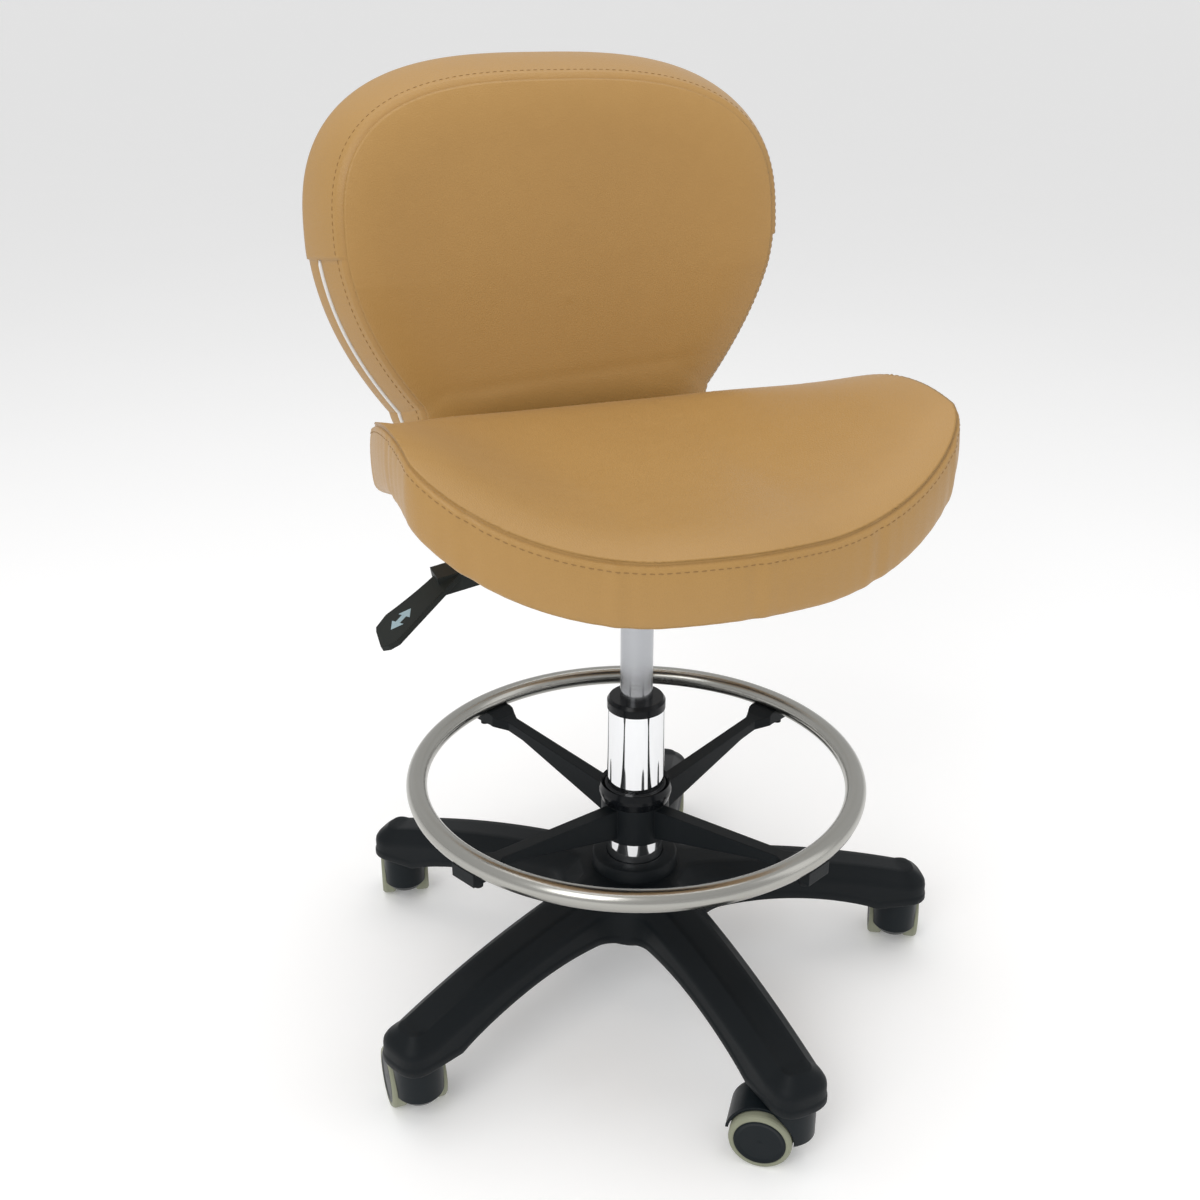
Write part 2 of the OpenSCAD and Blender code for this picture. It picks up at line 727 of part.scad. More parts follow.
// Backrest outline in its own frame, from the bottom right corner round the top
back_half = back_w / 2;
top_round = 2.9;
taper_power = 1.83;
function side_x(s) =
    back_half - back_taper * pow((back_waist - s) / (back_waist + back_drop), taper_power);
function back_outline(grow) = let (
    corner = 26,
    right = concat(
        [for (a = [-80, -50, -20]) [side_x(-back_drop + corner) - corner + (corner + grow) * cos(a),
                                    corner - back_drop + (corner + grow) * sin(a)]],
        [for (s = [0:30:back_waist - 15]) [side_x(s) + grow, s]],
        [for (t = [0:10:80]) [(back_half + grow) * power_arc(t, top_round),
                              back_waist + (back_crown + grow) * power_arc(t - 90, top_round)]]))
    concat(right, [[0, back_waist + back_crown + grow]],
           [for (i = [len(right) - 1:-1:0]) [-right[i][0], right[i][1]]]);

function back_forward(x, s) =
    back_wing * pow(max(0, abs(x) - back_flat) / (back_half - back_flat), 2) * min(1, max(0, s + 40) / 140);

// A pad of the backrest between two depths behind its face
module back_pad(near, far, near_grow, far_grow) {
    on_back() rotate([90, 0, 0])
    lofted_pad(back_outline(far_grow), back_outline(near_grow), [0, 70],
               function (x, s) back_forward(x, s) - far,
               function (x, s) back_forward(x, s) - near);
}

// The board's shape, with its rear lowered by a depth where it cuts its own seat
module board_shape(deeper) {
    back_pad(back_foam, back_foam + board_t - board_gap + deeper,
             back_flare - board_inset, back_flare - board_inset);
}

module back_cushion() {
    color([0.70, 0.53, 0.31])
    difference() {
        back_pad(0, back_foam + board_t, 0, back_flare);
        board_shape(3);
    }
}

module back_board() {
    color([0.72, 0.58, 0.40])
    difference() {
        board_shape(0);
        back_bolt_places() cylinder(d = bolt_d, h = bar_t + rear_panel_t + board_t - 1, $fn = 32);
    }
}

module back_rear_panel() {
    color([0.66, 0.50, 0.29])
    difference() {
        back_pad(back_foam + board_t, bar_face, back_flare, back_flare - 6);
        back_bolt_places() cylinder(d = bolt_hole, h = bar_t + rear_panel_t + 1, $fn = 32);
    }
}

// ---- Casters ---------------------------------------------------------------
wheel_r = wheel_d / 2;
wheel_in = web_w / 2 + 1;
wheel_face = wheel_in + wheel_w;
core_r = wheel_r - tread_t;
hood_top = arm_under - 1;
hood_r = 20;
fender_gap = 1.2;
fender_r = wheel_r + fender_gap + 2.4;
stem_seat = 14;
stem_flange = 1;
fender_half = wheel_in + wheel_w / 2;
axle_half = wheel_face - 2;

// Places a caster's own frame: the swivel axis on Z, the trail along +X
module on_caster(k) {
    rotate([0, 0, arm_angle(k - 1)]) translate([caster_reach, 0, 0])
        rotate([0, 0, caster_heading[k - 1] - arm_angle(k - 1)]) children();
}

// Places a frame on the axle, with Z pointing out of the left or right wheel
module on_axle(side) {
    translate([caster_trail, 0, wheel_r]) rotate([-90 * side, 0, 0]) children();
}

module caster_hood(k) {
    color([0.06, 0.06, 0.07])
    on_caster(k) difference() {
        union() {
            translate([0, 0, wheel_r]) cylinder(r = hood_r, h = hood_top - wheel_r, $fn = FINE);
            translate([0, 0, wheel_r - 6]) cylinder(r1 = hood_r - 5, r2 = hood_r, h = 6, $fn = FINE);
            on_axle(1) translate([0, 0, -web_w / 2]) cylinder(r = core_r - 0.5, h = web_w, $fn = FINE);
            intersection() {
                on_axle(1) translate([0, 0, -fender_half])
                    cylinder(r = fender_r, h = 2 * fender_half, $fn = FINE);
                translate([0, -wheel_face, wheel_r + 4]) cube([2 * fender_r, 2 * wheel_face, 2 * fender_r]);
            }
        }
        for (side = [-1, 1])
            on_axle(side) translate([0, 0, web_w / 2])
                cylinder(r = wheel_r + fender_gap, h = wheel_w + 10, $fn = FINE);
        on_axle(1) cylinder(d = axle_d, h = 2 * wheel_face, center = true, $fn = FINE);
        translate([0, 0, hood_top - stem_seat]) cylinder(d = stem_d, h = stem_seat + 1, $fn = FINE);
    }
}

module caster_stem(k) {
    color([0.6, 0.6, 0.62])
    on_caster(k) union() {
        translate([0, 0, hood_top - stem_seat])
            cylinder(d = stem_d, h = stem_seat + stem_flange + socket_depth - 4, $fn = FINE);
        translate([0, 0, hood_top]) cylinder(d = stem_d + 8, h = stem_flange, $fn = FINE);
    }
}

module caster_axle(k) {
    color([0.6, 0.6, 0.62])
    on_caster(k) on_axle(1) cylinder(d = axle_d, h = 2 * axle_half, center = true, $fn = FINE);
}

module caster_wheel(k, side) {
    color([0.10, 0.10, 0.11])
    on_caster(k) on_axle(side) rotate_extrude($fn = FINE)
        polygon([[axle_d / 2 + run_gap, wheel_in], [core_r, wheel_in], [core_r, wheel_face - 0.6],
                 [core_r - 1.2, wheel_face], [core_r - 4, wheel_face - 0.8], [0, wheel_face - 0.4],
                 [0, axle_half + 0.4], [axle_d / 2 + run_gap, axle_half + 0.4]]);
}

module caster_tread(k, side) {
    round_off = 2;
    color([0.55, 0.57, 0.49])
    on_caster(k) on_axle(side) rotate_extrude($fn = FINE)
        polygon([[core_r, wheel_in], [wheel_r - round_off, wheel_in], [wheel_r - 0.5, wheel_in + 1],
                 [wheel_r, wheel_in + 2.5], [wheel_r, wheel_face - 3], [wheel_r - 0.6, wheel_face - 1.4],
                 [wheel_r - round_off, wheel_face - 0.2], [core_r + 1, wheel_face],
                 [core_r, wheel_face - 0.6]]);
}

// ---- Every node ------------------------------------------------------------
base_star();
hub_sleeve();
column_tube();
column_bushing();
thrust_bearing();
piston_rod();
retaining_clip();
gas_cylinder();
release_button();
foot_ring();
foot_spider();
foot_sleeve();
foot_collar();
ring_screws();
seat_mechanism();
lever_bar();
lever_pin();
lever_paddle();
back_bar();
m6_bolts();
seat_pan();
seat_cushion();
back_board();
back_cushion();
back_rear_panel();
for (k = [1:ARMS]) {
    caster_hood(k);
    caster_stem(k);
    caster_axle(k);
    caster_wheel(k, 1);
    caster_wheel(k, -1);
    caster_tread(k, 1);
    caster_tread(k, -1);
}
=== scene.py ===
import math

import bmesh
import bpy
import numpy as np
from mathutils import Matrix, Vector, noise


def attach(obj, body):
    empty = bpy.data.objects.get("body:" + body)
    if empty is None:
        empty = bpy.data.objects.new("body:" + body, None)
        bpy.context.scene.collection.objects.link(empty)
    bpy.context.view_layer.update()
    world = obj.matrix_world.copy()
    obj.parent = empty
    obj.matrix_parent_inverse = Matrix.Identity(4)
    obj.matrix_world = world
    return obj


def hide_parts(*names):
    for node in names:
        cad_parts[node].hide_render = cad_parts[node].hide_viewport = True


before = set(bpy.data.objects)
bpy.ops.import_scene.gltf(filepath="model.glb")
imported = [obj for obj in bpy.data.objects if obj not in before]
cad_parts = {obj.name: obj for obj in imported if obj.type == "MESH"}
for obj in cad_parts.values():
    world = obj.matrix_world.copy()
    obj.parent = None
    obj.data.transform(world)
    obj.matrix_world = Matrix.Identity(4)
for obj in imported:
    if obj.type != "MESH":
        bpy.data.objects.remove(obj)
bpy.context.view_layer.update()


# ---- Star base -------------------------------------------------------------
# One glass-filled nylon moulding: five arms on a hub, arched underneath, with a
# narrow flat along each arm's back and webs that sweep from arm to arm. The hub
# takes the column's steel sleeve, and each arm's end takes a caster stem.
class Wire:
    """A socket of a material's node tree. Sums on wires add Math nodes."""

    def __init__(self, tree, socket):
        self.tree = tree
        self.socket = socket

    def node(self, kind, settings=None, values=None, out=0):
        made = self.tree.nodes.new(kind)
        for name, value in (settings or {}).items():
            setattr(made, name, value)
        for name, value in (values or {}).items():
            if isinstance(value, Wire):
                self.tree.links.new(value.socket, made.inputs[name])
            else:
                made.inputs[name].default_value = value
        return Wire(self.tree, made.outputs[out])

    def math(self, operation, *values):
        return self.node("ShaderNodeMath", {"operation": operation}, dict(enumerate(values)))

    def __add__(self, other):
        return self.math("ADD", self, other)

    def __radd__(self, other):
        return self.math("ADD", other, self)

    def __sub__(self, other):
        return self.math("SUBTRACT", self, other)

    def __rsub__(self, other):
        return self.math("SUBTRACT", other, self)

    def __mul__(self, other):
        return self.math("MULTIPLY", self, other)

    def __rmul__(self, other):
        return self.math("MULTIPLY", other, self)

    def grain(self, scale, detail=3.0, stretch=(1.0, 1.0, 1.0)):
        """Soft noise from 0 to 1 with that many features to the metre."""
        place = self.node("ShaderNodeMapping", None, {"Vector": self, "Scale": stretch})
        return self.node("ShaderNodeTexNoise", None, {"Vector": place, "Scale": scale, "Detail": detail})

    def between(self, first, second):
        """A colour between two, by this wire from 0 to 1."""
        return self.node("ShaderNodeMix", {"data_type": "RGBA"},
                         {0: self, 6: (*first, 1.0), 7: (*second, 1.0)}, out=2)


def finish(name, **fixed):
    """A new material with its shader, and a wire on the place in metres."""
    material = bpy.data.materials.new(name)
    material.use_nodes = True
    tree = material.node_tree
    shader = tree.nodes["Principled BSDF"]
    for socket, value in fixed.items():
        shader.inputs[socket.replace("_", " ")].default_value = value
    coordinates = tree.nodes.new("ShaderNodeTexCoord")
    return material, shader, Wire(tree, coordinates.outputs["Object"])


def feed(shader, **wires):
    """Joins wires to the shader's sockets of those names."""
    for socket, wire in wires.items():
        wire.tree.links.new(wire.socket, shader.inputs[socket.replace("_", " ")])


def bumped(height, depth, edge=0.0):
    """A bump of that depth in metres, over edges softened by a radius."""
    values = {"Height": height, "Distance": depth, "Strength": 1.0}
    if edge:
        values["Normal"] = height.node("ShaderNodeBevel", {"samples": 4}, {"Radius": edge})
    return height.node("ShaderNodeBump", None, values)


def moulded_plastic(name, dark, light, rough, spark, depth, edge):
    """Moulded plastic with a fine spark-eroded texture and a little handling wear."""
    material, shader, place = finish(name, Specular_IOR_Level=0.16)
    cloudy = place.grain(9.0, 4.0)
    speck = place.grain(spark, 2.0)
    feed(shader, Base_Color=cloudy.between(dark, light),
         Roughness=rough + 0.16 * (cloudy - 0.5) + 0.10 * (speck - 0.5),
         Normal=bumped(speck, depth, edge))
    return material


def paint(material, *nodes):
    """Gives CAD nodes their finish."""
    for node in nodes:
        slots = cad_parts[node].data.materials
        slots.clear()
        slots.append(material)


def new_piece(name, points, faces, material, body, slot, smooth=True):
    """A mesh piece from points and faces in the row frame, riding on a body."""
    mesh = bpy.data.meshes.new(name)
    mesh.from_pydata([tuple(map(float, p)) for p in points], [], faces)
    mesh.validate()
    mesh.polygons.foreach_set("use_smooth", [smooth] * len(mesh.polygons))
    mesh.materials.append(material)
    piece = bpy.data.objects.new(name, mesh)
    bpy.context.scene.collection.objects.link(piece)
    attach(piece, body)
    return piece


def sewn_rings(rings, first=None, last=None):
    """Points and faces of a closed skin over rings of equal count, capped at the ends."""
    count = len(rings[0])
    points = [p for ring in rings for p in ring]
    faces = []
    for j in range(len(rings) - 1):
        for i in range(count):
            k = (i + 1) % count
            faces.append((j * count + i, j * count + k, (j + 1) * count + k, (j + 1) * count + i))
    if first is not None:
        points.append(first)
        faces += [((i + 1) % count, i, len(points) - 1) for i in range(count)]
    if last is not None:
        points.append(last)
        start = (len(rings) - 1) * count
        faces += [(start + i, start + (i + 1) % count, len(points) - 1) for i in range(count)]
    return points, faces


black_nylon = moulded_plastic("black_nylon", (0.0035, 0.0055, 0.0070), (0.0065, 0.0090, 0.0110),
                              0.50, 1400.0, 0.00012, 0.0015)

ARMS = 5
FRONT_ARM = math.radians(-82.5)
REACH = 0.254
ARM_END = 0.024
ARM_ROOT = 0.0275
WEB_ROUND = 0.028
ARM_UNDER = 0.058
ARM_TIP_TOP = 0.088
ARM_CREST = 0.122
HUB_SPINE = 0.036
ARCH_RISE = 0.026
ARCH_START = -0.010
SLOPE_START = 0.024


def arm_side():
    """Plan of one side of an arm, from the web to the tip: (outline, spine) pairs."""
    half = math.pi / ARMS
    centre = (ARM_ROOT + WEB_ROUND) / math.sin(half)
    start = centre * math.cos(half)
    side = []
    for i in range(15):
        turn = math.pi + half + (math.pi / 2 - half) * i / 14.0
        x = start + WEB_ROUND * math.cos(turn)
        y = centre * math.sin(half) + WEB_ROUND * math.sin(turn)
        side.append(((x, y), (HUB_SPINE + (start - HUB_SPINE) * (i / 14.0) ** 2, 0.0)))
    for i in range(1, 41):
        x = start + (REACH - start) * i / 40.0
        side.append(((x, ARM_ROOT + (ARM_END - ARM_ROOT) * i / 40.0), (x, 0.0)))
    for i in range(1, 14):
        turn = math.pi / 2 * (1 - i / 13.0)
        x = REACH + ARM_END * math.cos(turn) ** 0.70
        y = ARM_END * max(0.0, math.sin(turn)) ** 0.70
        side.append(((x, y), (REACH, 0.0)))
    return side


def arm_levels(x):
    """Top and underside of an arm at a distance out along it."""
    fall = max(0.0, x - SLOPE_START) / (REACH - SLOPE_START)
    share = min(1.0, (x - ARCH_START) / (REACH - ARM_END + 0.006))
    top = ARM_CREST - (ARM_CREST - ARM_TIP_TOP) * min(1.0, fall) ** 2
    return top, ARM_UNDER + ARCH_RISE * math.sin(math.pi * share) ** 0.8


side = arm_side()
fifth = [((x, -y), (sx, sy)) for (x, y), (sx, sy) in side] + side[-2::-1]
# Each ring round the star: its share of the way out from the arm's spine to its side,
# the level it follows, as 0 for the top and 1 for the underside, and its shift from it
TOP, UNDER = 0, 1
SECTION = [(0.0, TOP, 0.0), (0.30, TOP, 0.0), (0.50, TOP, 0.0), (0.525, TOP, -0.0004),
           (0.55, TOP, -0.0014), (0.80, TOP, -0.0060), (0.92, TOP, -0.0092), (0.98, TOP, -0.0118),
           (1.0, TOP, -0.0150), (1.0, UNDER, 0.0085), (1.01, UNDER, 0.0072), (1.03, UNDER, 0.0062),
           (1.035, UNDER, 0.0045), (1.035, UNDER, 0.0012), (1.01, UNDER, 0.0), (0.80, UNDER, 0.0),
           (0.0, UNDER, 0.0)]
rings = []
for share, level, shift in SECTION:
    ring = []
    for k in range(ARMS):
        turn = FRONT_ARM + 2 * math.pi / ARMS * k
        for (x, y), (sx, sy) in fifth:
            px, py = sx + (x - sx) * share, sy + (y - sy) * share
            z = arm_levels(px)[level] + shift
            ring.append((px * math.cos(turn) - py * math.sin(turn),
                         px * math.sin(turn) + py * math.cos(turn), z))
    rings.append(ring)


def turned(profile, segments=128):
    """Rings of a closed turned shape, from (radius, height) pairs round its section."""
    spun = []
    for i in range(segments):
        turn = 2 * math.pi * i / segments
        spun.append([(r * math.cos(turn), r * math.sin(turn), z) for r, z in profile])
    points = [p for ring in spun for p in ring]
    n = len(profile)
    faces = []
    for i in range(segments):
        for j in range(n):
            a, b = i * n, (i + 1) % segments * n
            k = (j + 1) % n
            faces.append((a + j, a + k, b + k, b + j))
    return points, faces


def joined(*parts):
    """One list of points and one of faces from several."""
    points, faces = [], []
    for more_points, more_faces in parts:
        faces += [tuple(len(points) + i for i in face) for face in more_faces]
        points += list(more_points)
    return points, faces


def welded(piece, distance=1e-5):
    """Merges points that lie on each other, closes the loops left and faces outward."""
    work = bmesh.new()
    work.from_mesh(piece.data)
    bmesh.ops.remove_doubles(work, verts=work.verts, dist=distance)
    bmesh.ops.dissolve_degenerate(work, edges=work.edges, dist=distance)
    rims = [e for e in work.edges if e.is_boundary]
    if rims:
        bmesh.ops.bridge_loops(work, edges=rims)
    bmesh.ops.recalc_face_normals(work, faces=work.faces)
    work.to_mesh(piece.data)
    work.free()
    return piece


def creased(piece, degrees):
    """Smooth shading that stays sharp over edges steeper than that."""
    piece.data.shade_smooth()
    piece.data.set_sharp_from_angle(angle=math.radians(degrees))
    return piece


star = new_piece("star_moulding", *sewn_rings(rings), black_nylon, "base", "black_nylon")
creased(welded(star), 38)
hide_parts("base_star")
hub = [(0.0252, 0.1335), (0.0258, 0.1342), (0.0358, 0.1342), (0.0372, 0.1335), (0.0380, 0.1315),
       (0.0388, 0.1200), (0.0412, 0.0720), (0.0420, 0.0600), (0.0412, 0.0582), (0.0400, 0.0576),
       (0.0280, 0.0576), (0.0262, 0.0585), (0.0262, 0.0640), (0.0302, 0.0640), (0.0302, 0.1300),
       (0.0252, 0.1300)]
boss = new_piece("star_hub", *turned(hub), black_nylon, "base", "black_nylon")
creased(welded(boss), 35)


# ---- Column and gas lift -----------------------------------------------------
# A bright chromed steel tube stands in the hub with a polished black guide cap in
# its mouth. The ground steel gas cylinder slides and turns in the cap, on a rod
# and a ball bearing at the bottom, and tapers into the seat mechanism.
def metal(name, dark, light, rough, spread, stretch, depth, edge=0.0):
    """Bare or plated steel with the marks of how it was ground or brushed."""
    material, shader, place = finish(name, Metallic=1.0)
    cloudy = place.grain(7.0, 3.0)
    lines = place.grain(260.0, 4.0, stretch)
    feed(shader, Base_Color=(0.6 * lines + 0.4 * cloudy).between(dark, light),
         Roughness=rough + spread * (lines - 0.5) + 0.05 * (cloudy - 0.5),
         Normal=bumped(lines, depth, edge))
    return material


column_chrome = metal("column_chrome", (0.78, 0.79, 0.81), (0.88, 0.89, 0.90), 0.055, 0.03,
                      (1, 1, 0.2), 0.000002)
cylinder_steel = metal("cylinder_steel", (0.34, 0.35, 0.37), (0.50, 0.51, 0.53), 0.20, 0.10,
                       (0.3, 0.3, 6.0), 0.00001)
plain_steel = metal("plain_steel", (0.42, 0.43, 0.45), (0.58, 0.58, 0.60), 0.36, 0.12,
                    (1, 1, 1), 0.00002, 0.0004)
paint(column_chrome, "column_tube")
paint(cylinder_steel, "gas_cylinder", "piston_rod")
paint(plain_steel, "hub_sleeve", "thrust_bearing", "retaining_clip", "lever_pin", "m6_bolts")
black_gloss = moulded_plastic("black_gloss", (0.004, 0.005, 0.006), (0.008, 0.009, 0.011),
                              0.20, 2200.0, 0.00001, 0.0006)
paint(black_gloss, "column_bushing", "foot_sleeve", "foot_collar")
button_red = moulded_plastic("button_red", (0.30, 0.020, 0.016), (0.38, 0.030, 0.022),
                             0.35, 1500.0, 0.00003, 0.0005)
paint(button_red, "release_button")


# ---- Foot ring ---------------------------------------------------------------
# A brushed stainless tube bent to a ring and welded shut, screwed into the cradles
# of a black nylon spider that grips the column under a twist collar.
ring_steel, ring_shader, ring_place = finish("ring_steel", Metallic=1.0)
apart = [ring_place.node("ShaderNodeSeparateXYZ", None, {"Vector": ring_place}, out=k) for k in range(3)]
from_axis = ring_place.math("SQRT", apart[0] * apart[0] + apart[1] * apart[1])
round_ring = ring_place.node("ShaderNodeCombineXYZ", None, {"X": from_axis, "Y": apart[2]})
brushed = round_ring.grain(1500.0, 3.0)
streaked = 0.6 * round_ring.grain(260.0, 2.0) + 0.4 * ring_place.grain(16.0, 3.0)
feed(ring_shader, Base_Color=streaked.between((0.33, 0.325, 0.30), (0.48, 0.475, 0.445)),
     Roughness=0.24 + 0.10 * (brushed - 0.5) + 0.08 * (streaked - 0.5),
     Normal=bumped(brushed, 0.00001))
RING_TURN = 0.191
RING_TUBE = 0.009
RING_LEVEL = 0.214
WELD_TURN = 1.9
WELD_HALF = 0.006
WELD_PROUD = 0.0004
RING_STEPS = 256
TUBE_STEPS = 40
tube = []
for i in range(RING_STEPS):
    turn = 2 * math.pi * i / RING_STEPS
    seam = math.exp(-((turn - WELD_TURN) / WELD_HALF) ** 2) * WELD_PROUD
    tube.append([((RING_TURN + (RING_TUBE + seam) * math.cos(a)) * math.cos(turn),
                  (RING_TURN + (RING_TUBE + seam) * math.cos(a)) * math.sin(turn),
                  RING_LEVEL + (RING_TUBE + seam) * math.sin(a))
                 for a in (2 * math.pi * j / TUBE_STEPS for j in range(TUBE_STEPS))])
ring_points, ring_faces = sewn_rings(tube + tube[:1])
foot_ring = new_piece("foot_ring_tube", ring_points, ring_faces, ring_steel, "foot_rest", "ring_steel")
welded(foot_ring)
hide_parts("foot_ring")
black_steel = moulded_plastic("black_steel", (0.005, 0.006, 0.007), (0.009, 0.010, 0.012),
                              0.42, 900.0, 0.00006, 0.0010)
paint(black_nylon, "foot_spider")
paint(black_steel, "ring_screws", "seat_mechanism", "lever_bar", "back_bar")


# ---- Casters -----------------------------------------------------------------
# Twin-wheel casters: a nylon hood turns on a steel stem, and each wheel is a dished
# black disc with a soft grey-green tread moulded round it.
wheel_black = moulded_plastic("wheel_black", (0.005, 0.008, 0.010), (0.009, 0.013, 0.016),
                              0.34, 1600.0, 0.00004, 0.0010)
tread_grey = moulded_plastic("tread_grey", (0.235, 0.245, 0.175), (0.290, 0.300, 0.220),
                             0.46, 1100.0, 0.00005, 0.0006)
for k in range(1, ARMS + 1):
    paint(wheel_black, f"caster_{k}_hood", f"caster_{k}_wheel_left", f"caster_{k}_wheel_right")
    paint(tread_grey, f"caster_{k}_tread_left", f"caster_{k}_tread_right")
    paint(plain_steel, f"caster_{k}_stem", f"caster_{k}_axle")


# ---- Height lever --------------------------------------------------------------
# A flat steel bar with a moulded black paddle pushed over its end. A plain
# up-and-down arrow is printed on the paddle.
lever_black = moulded_plastic("lever_black", (0.012, 0.015, 0.014), (0.020, 0.024, 0.022),
                              0.48, 1200.0, 0.00008, 0.0012)
paint(lever_black, "lever_paddle")
PIVOT = (-0.022, 0.025, 0.436)
BAR_DROOP = math.radians(10)
PADDLE_DROOP = math.radians(26)
PADDLE_SWEEP = math.radians(30)
PADDLE_START = (-0.130, 0.0, 0.0055)
PADDLE_ROOT = Matrix.Translation(PIVOT) @ Matrix.Rotation(-BAR_DROOP, 4, "Y") \
    @ Matrix.Translation(PADDLE_START) @ Matrix.Rotation(PADDLE_SWEEP, 4, "Z") \
    @ Matrix.Rotation(BAR_DROOP - PADDLE_DROOP, 4, "Y") @ Matrix.Rotation(math.pi, 4, "Z")
print_ink, ink_shader, ink_place = finish("pale_print", Specular_IOR_Level=0.3)
worn = ink_place.grain(900.0, 3.0)
feed(ink_shader, Base_Color=worn.between((0.24, 0.36, 0.42), (0.42, 0.56, 0.62)),
     Roughness=0.5 + 0.1 * (worn - 0.5))
ARROW = [(0.0, 0.0095), (0.0065, 0.0030), (0.0024, 0.0030), (0.0024, -0.0030), (0.0065, -0.0030),
         (0.0, -0.0095), (-0.0065, -0.0030), (-0.0024, -0.0030), (-0.0024, 0.0030), (-0.0065, 0.0030)]
ARROW_OUT = 0.062
ARROW_SIDE = -0.002
ARROW_STRETCH = 1.3
INK_FACES = (-0.0004, 0.00018)
loops = [[tuple(PADDLE_ROOT @ Vector((ARROW_OUT + ARROW_STRETCH * y, ARROW_SIDE + x, z))) for x, y in ARROW]
         for z in INK_FACES]
marks, sides = sewn_rings(loops)
back_end, front_end = tuple(range(len(ARROW)))[::-1], tuple(range(len(ARROW), 2 * len(ARROW)))
new_piece("lever_mark", marks, [*sides, back_end, front_end],
          print_ink, "height_lever", "lever_black", smooth=False)


# ---- Seat cushion --------------------------------------------------------------
# Moulded foam on a bent plywood pan, in tan vinyl: a top panel sewn to a boxing
# band, with a row of topstitching just under the seam, pulled under and stapled.
def vinyl(name, deep, pale):
    """Smooth upholstery vinyl: a fine embossed grain under a soft sheen."""
    material, shader, place = finish(name, Specular_IOR_Level=0.42, Sheen_Weight=0.06,
                                     Sheen_Roughness=0.4)
    broad = place.grain(5.0, 2.0)
    mottled = place.grain(60.0, 3.0)
    cells = place.node("ShaderNodeTexVoronoi", {"feature": "SMOOTH_F1"},
                       {"Vector": place, "Scale": 900.0, "Smoothness": 0.6})
    pores = place.grain(2600.0, 2.0)
    tone = 0.55 * broad + 0.30 * mottled + 0.15 * cells
    feed(shader, Base_Color=tone.between(deep, pale),
         Roughness=0.43 + 0.10 * (mottled - 0.5) + 0.10 * (cells - 0.5),
         Normal=bumped(0.8 * cells + 0.2 * pores, 0.00022))
    return material


tan_vinyl = vinyl("tan_vinyl", (0.362, 0.200, 0.056), (0.440, 0.252, 0.077))
thread, thread_shader, thread_place = finish("tan_thread", Roughness=0.6, Specular_IOR_Level=0.3)
twist = thread_place.grain(2400.0, 2.0)
feed(thread_shader, Base_Color=twist.between((0.20, 0.108, 0.034), (0.32, 0.185, 0.064)))

SEAT_HALF = 0.2120
SEAT_FRONT = 0.2085
SEAT_REAR = 0.1440
SEAT_MID = -0.113
REAR_ROUND = 3.8
FRONT_ROUND = 1.75
SEAT_SEAM = 0.4955
SEAT_UNDER = 0.447
BAND = 0.0492
SEAT_POINTS = 480
WING_RISE = 0.066
WING_FLAT = 0.060
WING_FORE = 0.068
WING_FADE = 0.163
WING_POWER = 1.6
REAR_LIFT = 0.012
LIFT_START = -0.060
SEAT_CROWN = 0.0095
CROWN_WIDTH = 0.055
SEAM_FADE = 0.007


def evenly(points, count):
    """The closed loop through the points, as that many evenly spaced ones."""
    loop = np.vstack([points, points[:1]])
    run = np.concatenate([[0.0], np.cumsum(np.linalg.norm(np.diff(loop, axis=0), axis=1))])
    places = np.linspace(0.0, run[-1], count, endpoint=False)
    return np.column_stack([np.interp(places, run, loop[:, k]) for k in range(loop.shape[1])])


def outward(loop):
    """Unit vectors that point out of a flat loop that runs counter-clockwise."""
    ahead = np.roll(loop, -2, axis=0) - np.roll(loop, 2, axis=0)
    out = np.column_stack([ahead[:, 1], -ahead[:, 0]])
    return out / np.linalg.norm(out, axis=1)[:, None]


def swell(turn, power):
    """A share of a half width at a turn, for a rounded box of that power."""
    return np.sign(turn) * np.abs(turn) ** (2.0 / power)


turns = np.linspace(0.0, 2 * np.pi, 8000, endpoint=False)
rear_half = np.sin(turns) >= 0
seat_x = SEAT_HALF * np.where(rear_half, swell(np.cos(turns), REAR_ROUND),
                              swell(np.cos(turns), FRONT_ROUND))
seat_y = SEAT_MID + np.where(rear_half, (SEAT_REAR - SEAT_MID) * swell(np.sin(turns), REAR_ROUND),
                             (SEAT_FRONT + SEAT_MID) * swell(np.sin(turns), FRONT_ROUND))
seat_loop = evenly(np.column_stack([seat_x, seat_y]), SEAT_POINTS)
seat_out = outward(seat_loop)
seat_centre = np.array([0.0, -0.030])


def seat_rise(x, y):
    """How far the wings lift the seat at a place."""
    wing = np.maximum(0.0, np.abs(x) - WING_FLAT) / (SEAT_HALF - WING_FLAT)
    return WING_RISE * wing ** WING_POWER * np.exp(-((y + WING_FORE) / WING_FADE) ** 2)


def rear_lift(y):
    """How far the top of the seat slopes up towards the backrest."""
    return REAR_LIFT * np.clip((y - LIFT_START) / (SEAT_REAR - LIFT_START), 0.0, 1.0) ** 1.4


def pucker(count, waves, seed):
    """A lively closed row of numbers round nought, for the gathers along a seam."""
    marks = np.arange(count) * 2 * np.pi / count
    row = np.zeros(count)
    for k in range(7):
        row += np.sin(marks * (waves + 13 * k) + seed * (k + 1.7)) / 7 ** 0.5
    return row


GATHER_DEPTH = 0.00028
gather = pucker(SEAT_POINTS, 150, 0.9)
soft = pucker(SEAT_POINTS, 9, 2.3)


def seat_ring(inset, lift):
    """A ring round the seat's seam, set in from its edge and lifted from the seam."""
    flat = seat_loop - seat_out * inset
    z = SEAT_SEAM + seat_rise(flat[:, 0], flat[:, 1]) + rear_lift(flat[:, 1]) + lift
    return [tuple(p) for p in np.column_stack([flat, z])]


